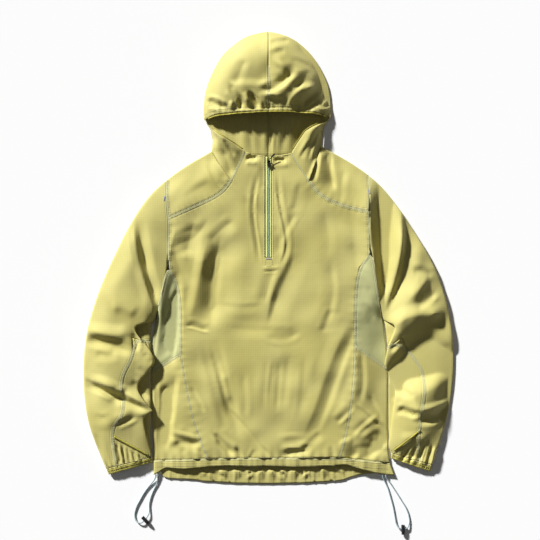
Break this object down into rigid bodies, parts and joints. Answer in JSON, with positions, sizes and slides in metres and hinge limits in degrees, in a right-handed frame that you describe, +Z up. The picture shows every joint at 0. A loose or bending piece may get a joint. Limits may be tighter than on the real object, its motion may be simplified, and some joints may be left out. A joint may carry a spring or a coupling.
{
  "type": "anorak pullover",
  "caption": "Hooded pullover anorak laid flat: half zip, panelled body, two creased sleeves with gathered cuffs, drawcord hem with toggles.",
  "frame": {"origin": "on the resting surface, under the middle of the garment's own box, with its free drawcords left out", "axes": "+X to the viewer's right, +Y from the hem to the top of the hood, +Z up from the surface towards the camera"},
  "size_m": [0.8144, 1.105, 0.0422],
  "materials": {
    "shell_cloth": "thin mustard-yellow ripstop cloth, matt",
    "gusset_cloth": "paler green-yellow stretch cloth, matt",
    "binding": "olive-yellow elastic binding, slightly glossy",
    "zip_tape": "lime woven tape",
    "drawcord": "grey-blue braided elastic cord",
    "zip_coil": "teal-grey moulded coil",
    "black_plastic": "black moulded plastic, satin"
  },
  "bodies": {
    "garment": {"front_panel": "shell_cloth", "back_panel": "shell_cloth", "hem_front": "shell_cloth", "hem_back": "shell_cloth", "side_panel_left": "shell_cloth", "side_panel_right": "shell_cloth", "yoke_left": "shell_cloth", "yoke_right": "shell_cloth", "sleeve_left": "shell_cloth", "sleeve_right": "shell_cloth", "forearm_left": "shell_cloth", "forearm_right": "shell_cloth", "cuff_left": "shell_cloth", "cuff_right": "shell_cloth", "hood_left": "shell_cloth", "hood_right": "shell_cloth", "hood_side_left": "shell_cloth", "hood_side_right": "shell_cloth", "gusset_left": "gusset_cloth", "gusset_right": "gusset_cloth", "cuff_binding_left": "binding", "cuff_binding_right": "binding", "hood_binding_left": "binding", "hood_binding_right": "binding", "hood_side_binding_left": "binding", "hood_side_binding_right": "binding", "zip_tape_left": "zip_tape", "zip_tape_right": "zip_tape", "zip_chain": "zip_coil", "zip_slider": "black_plastic", "toggle_left": "black_plastic", "toggle_right": "black_plastic", "drawcord_left": "drawcord", "drawcord_right": "drawcord"},
    "pull_tab": {"zip_pull_tab": "black_plastic"}
  },
  "joints": [
    {"name": "pull_tab_swing", "type": "hinge", "parent": "garment", "child": "pull_tab", "pos_m": [0.0005, 0.21, 0.02146], "axis": [0.788, -0.6157, 0], "range_deg": [0, 150]}
  ]
}
